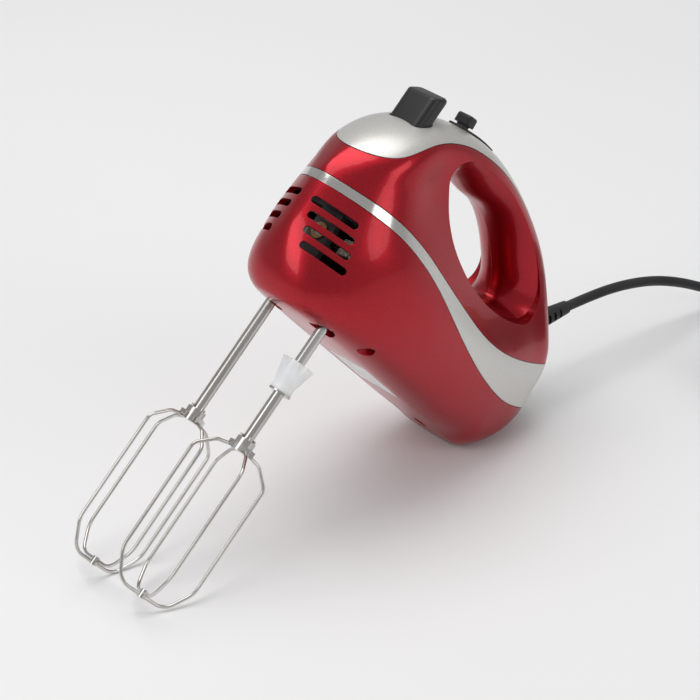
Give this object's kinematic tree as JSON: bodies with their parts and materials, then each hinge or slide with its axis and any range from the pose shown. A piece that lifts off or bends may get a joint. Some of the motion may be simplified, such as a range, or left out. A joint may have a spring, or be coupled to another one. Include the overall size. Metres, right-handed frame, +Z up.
{
  "type": "hand mixer",
  "caption": "Electric hand mixer resting on its heel and beater tips, with a loop handle, pull-out wire beaters, an eject button and a speed slide.",
  "frame": {"origin": "on the surface it stands on, under the middle of the mixer without its free cord", "axes": "+Z up, +X from the nose towards the heel and the cord, +Y across the body to its right-hand side; the body is tilted nose up by 48.7 degrees"},
  "size_m": [0.4662, 0.1398, 0.1874],
  "materials": {
    "red_metallic": "metallic lacquer, gloss",
    "silver_satin": "metallic lacquer, satin",
    "black_satin": "satin",
    "black_rubber": "satin",
    "white_nylon": "translucent satin",
    "natural_nylon": "satin",
    "steel_plated": "bright",
    "steel_brushed": "brushed",
    "lamination_steel": "stacked laminations",
    "copper_enamel": "varnished wire",
    "copper_bar": "turned",
    "bronze": "sintered",
    "carbon": "matte",
    "label_foil": "matte foil, blank",
    "grey_plastic": "satin"
  },
  "bodies": {
    "housing": {"lower_housing": "red_metallic", "upper_housing_left": "red_metallic", "upper_housing_right": "red_metallic", "top_cover": "silver_satin", "side_trim_left": "silver_satin", "side_trim_right": "silver_satin", "blank_rating_plate": "label_foil", "housing_screws": "steel_brushed", "strain_relief": "black_rubber", "gearbox_frame": "grey_plastic", "gearbox_cover": "grey_plastic", "gearbox_screws": "steel_brushed", "spindle_bushes": "bronze", "front_shaft_bushes": "bronze", "rear_shaft_bush": "bronze", "rear_motor_bracket": "grey_plastic", "stator_core": "lamination_steel", "field_coils": "copper_enamel", "brush_holders": "bronze", "carbon_brushes": "carbon", "brush_springs": "steel_brushed", "speed_track": "black_satin", "speed_switch": "grey_plastic", "suppressor_capacitor": "grey_plastic", "supply_leads": "black_rubber", "motor_leads": "black_rubber", "cord_coil": "black_rubber", "cord_run": "black_rubber", "cord_tail": "black_rubber", "coil_tie": "black_satin", "plug_body": "black_satin", "plug_pins": "bronze"},
    "rotor": {"worm_shaft": "steel_brushed", "rotor_core": "lamination_steel", "rotor_windings": "copper_enamel", "commutator": "copper_bar", "cooling_fan": "grey_plastic"},
    "left_drive": {"left_worm_wheel": "natural_nylon", "left_spindle": "steel_brushed"},
    "right_drive": {"right_worm_wheel": "natural_nylon", "right_spindle": "steel_brushed"},
    "left_beater": {"left_beater_stem": "steel_plated", "left_hub_clip": "steel_plated", "left_outer_loop": "steel_plated", "left_inner_loop": "steel_plated", "left_foot_rivet": "steel_plated", "left_stem_collar": "white_nylon", "left_collar_washer": "steel_plated"},
    "right_beater": {"right_beater_stem": "steel_plated", "right_hub_clip": "steel_plated", "right_outer_loop": "steel_plated", "right_inner_loop": "steel_plated", "right_foot_rivet": "steel_plated"},
    "ejector": {"eject_button": "black_satin", "ejector_yoke": "grey_plastic", "eject_spring": "steel_brushed"},
    "selector": {"speed_knob": "black_satin", "speed_slider": "black_satin"}
  },
  "joints": [
    {"name": "rotor_spin", "type": "hinge", "parent": "housing", "child": "rotor", "pos_m": [0.00878, 0, 0.12534], "axis": [0.6603, 0, -0.751], "continuous": true},
    {"name": "left_beater_spin", "type": "hinge", "parent": "housing", "child": "left_drive", "pos_m": [0.00878, -0.017, 0.12534], "axis": [0.751, 0, 0.6603], "continuous": true},
    {"name": "right_beater_spin", "type": "hinge", "parent": "housing", "child": "right_drive", "pos_m": [0.00878, 0.017, 0.12534], "axis": [0.751, 0, 0.6603], "continuous": true},
    {"name": "eject_press", "type": "slide", "parent": "housing", "child": "ejector", "axis": [-0.751, 0, -0.6603], "range_m": [0, 0.008], "stiffness_N_per_m": 400, "springref_m": -0.006, "deforming": ["eject_spring"]},
    {"name": "left_beater_release", "type": "slide", "parent": "left_drive", "child": "left_beater", "axis": [-0.751, 0, -0.6603], "range_m": [0, 0.008]},
    {"name": "right_beater_release", "type": "slide", "parent": "right_drive", "child": "right_beater", "axis": [-0.751, 0, -0.6603], "range_m": [0, 0.008]},
    {"name": "speed_select", "type": "slide", "parent": "housing", "child": "selector", "axis": [0.7352, 0, -0.6779], "range_m": [0, 0.018]}
  ],
  "couplings": [
    {"joint": "left_beater_spin", "follows": "rotor_spin", "ratio": 0.076923},
    {"joint": "right_beater_spin", "follows": "rotor_spin", "ratio": -0.076923},
    {"joint": "left_beater_release", "follows": "eject_press", "ratio": 1},
    {"joint": "right_beater_release", "follows": "eject_press", "ratio": 1}
  ]
}
